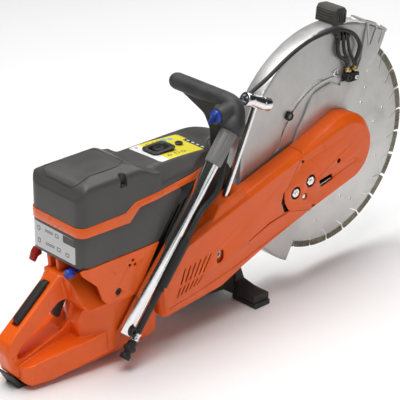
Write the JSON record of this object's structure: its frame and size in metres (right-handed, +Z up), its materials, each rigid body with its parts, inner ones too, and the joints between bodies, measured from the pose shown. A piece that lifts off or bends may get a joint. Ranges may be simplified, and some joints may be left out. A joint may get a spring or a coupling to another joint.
{
  "type": "cut-off saw",
  "caption": "Petrol rescue saw: large segmented diamond blade on a belt-driven cutting arm with a tilting guard, engine body, rear grip loop, front handle tube and water hoses.",
  "frame": {"origin": "centre of the bounding box at the floor, Z = 0 where the rubber feet stand", "axes": "+X forward along the saw to the blade, +Y to its left (the starter side), +Z up"},
  "size_m": [0.9178, 0.1899, 0.491],
  "materials": {
    "orange_plastic": "satin",
    "dark_grey_plastic": "matte",
    "black_plastic": "matte",
    "black_rubber": "matte",
    "guard_metal": "satin",
    "blade_steel": "satin",
    "steel": "satin",
    "chromed_steel": "polished",
    "cast_metal": "matte",
    "brass": "satin",
    "blue_plastic": "gloss",
    "red_plastic": "satin",
    "filter_felt": "matte"
  },
  "bodies": {
    "frame": {"cutting_arm": "cast_metal", "bearing_pulley_side": "steel", "bearing_blade_side": "steel", "arm_front_cover": "orange_plastic", "belt_guard": "orange_plastic", "arm_nut_front": "steel", "arm_nut_rear": "steel", "belt_tension_screw": "steel", "drive_belt": "black_rubber", "crankcase": "cast_metal", "cylinder": "cast_metal", "muffler": "steel", "carburettor": "cast_metal", "air_filter": "filter_felt", "spark_plug": "steel", "top_cover": "dark_grey_plastic", "cover_trim": "orange_plastic", "filter_housing": "dark_grey_plastic", "side_cover": "orange_plastic", "starter_housing": "orange_plastic", "fuel_tank_handle": "orange_plastic", "rear_foot": "black_rubber", "vibration_damper_right": "black_rubber", "vibration_damper_left": "black_rubber", "front_handle_tube": "chromed_steel", "handle_tube_bolt": "black_plastic", "handle_sleeve": "dark_grey_plastic", "front_grip": "dark_grey_plastic", "supply_hose": "black_rubber", "hose_guide": "black_plastic", "hose_connector": "black_plastic", "front_foot_bracket": "dark_grey_plastic", "front_foot_pad_right": "black_rubber", "front_foot_pad_left": "black_rubber"},
    "blade_unit": {"blade": "blade_steel", "blade_flange_inner": "steel", "blade_flange_outer": "steel", "spindle": "steel", "blade_bolt": "steel", "front_pulley": "cast_metal"},
    "clutch_drum": {"clutch_drum": "steel"},
    "crank": {"crankshaft": "steel", "clutch_hub": "steel", "flywheel": "cast_metal"},
    "guard": {"guard_shell": "guard_metal", "guard_handle": "black_plastic", "guard_valve_block": "black_plastic", "guard_nipple_lower": "brass", "guard_nipple_upper": "brass", "guard_hose_outer": "black_rubber", "guard_hose_inner": "black_rubber"},
    "trigger": {"throttle_trigger": "black_plastic"},
    "lockout": {"throttle_lockout": "black_plastic"},
    "choke": {"choke_knob": "blue_plastic"},
    "stop_switch": {"stop_switch": "red_plastic"},
    "decompression": {"decompression_knob": "black_plastic"},
    "fuel_cap": {"fuel_cap": "black_plastic"},
    "starter_grip": {"starter_handle": "black_plastic"},
    "water_tap": {"water_tap": "blue_plastic"},
    "wrench": {"combination_wrench": "chromed_steel"}
  },
  "joints": [
    {"name": "blade_spin", "type": "hinge", "parent": "frame", "child": "blade_unit", "pos_m": [0.259, -0.02, 0.235], "axis": [0, 1, 0], "continuous": true},
    {"name": "clutch_drum_spin", "type": "hinge", "parent": "frame", "child": "clutch_drum", "pos_m": [-0.11223, -0.02, 0.11223], "axis": [0, 1, 0], "continuous": true},
    {"name": "crank_spin", "type": "hinge", "parent": "frame", "child": "crank", "pos_m": [-0.11223, -0.02, 0.11223], "axis": [0, 1, 0], "continuous": true},
    {"name": "guard_tilt", "type": "hinge", "parent": "frame", "child": "guard", "pos_m": [0.259, -0.02, 0.235], "axis": [0, 1, 0], "range_deg": [0, 40]},
    {"name": "trigger_pull", "type": "hinge", "parent": "frame", "child": "trigger", "pos_m": [-0.329, 0.007, 0.135], "axis": [0, 1, 0], "range_deg": [0, 14], "stiffness_Nm_per_rad": 0.4, "springref_deg": -17.19},
    {"name": "lockout_press", "type": "hinge", "parent": "frame", "child": "lockout", "pos_m": [-0.363, 0.007, 0.161], "axis": [0, -1, 0], "range_deg": [0, 4], "stiffness_Nm_per_rad": 1.2, "springref_deg": -5.73},
    {"name": "choke_pull", "type": "slide", "parent": "frame", "child": "choke", "axis": [-1, 0, 0], "range_m": [0, 0.015]},
    {"name": "stop_switch_flip", "type": "hinge", "parent": "frame", "child": "stop_switch", "pos_m": [-0.335, 0.063, 0.19], "axis": [0, 1, 0], "range_deg": [0, 20]},
    {"name": "decompression_press", "type": "slide", "parent": "frame", "child": "decompression", "axis": [0, 0, -1], "range_m": [0, 0.0045], "stiffness_N_per_m": 900, "springref_m": -0.005},
    {"name": "fuel_cap_turn", "type": "hinge", "parent": "frame", "child": "fuel_cap", "pos_m": [-0.241, 0.077, 0.075], "axis": [0, 1, 0], "range_deg": [0, 90]},
    {"name": "starter_pull", "type": "slide", "parent": "frame", "child": "starter_grip", "axis": [0, 0.3489, 0.9372], "range_m": [0, 0.6], "stiffness_N_per_m": 15, "springref_m": -0.5},
    {"name": "water_tap_turn", "type": "hinge", "parent": "frame", "child": "water_tap", "pos_m": [-0.051, -0.058, 0.381], "axis": [1, 0, 0], "range_deg": [0, 90]},
    {"name": "wrench_lift", "type": "slide", "parent": "frame", "child": "wrench", "axis": [0.4231, 0, 0.9061], "range_m": [0, 0.15]}
  ],
  "couplings": [
    {"joint": "clutch_drum_spin", "follows": "blade_spin", "ratio": 1.8462}
  ]
}
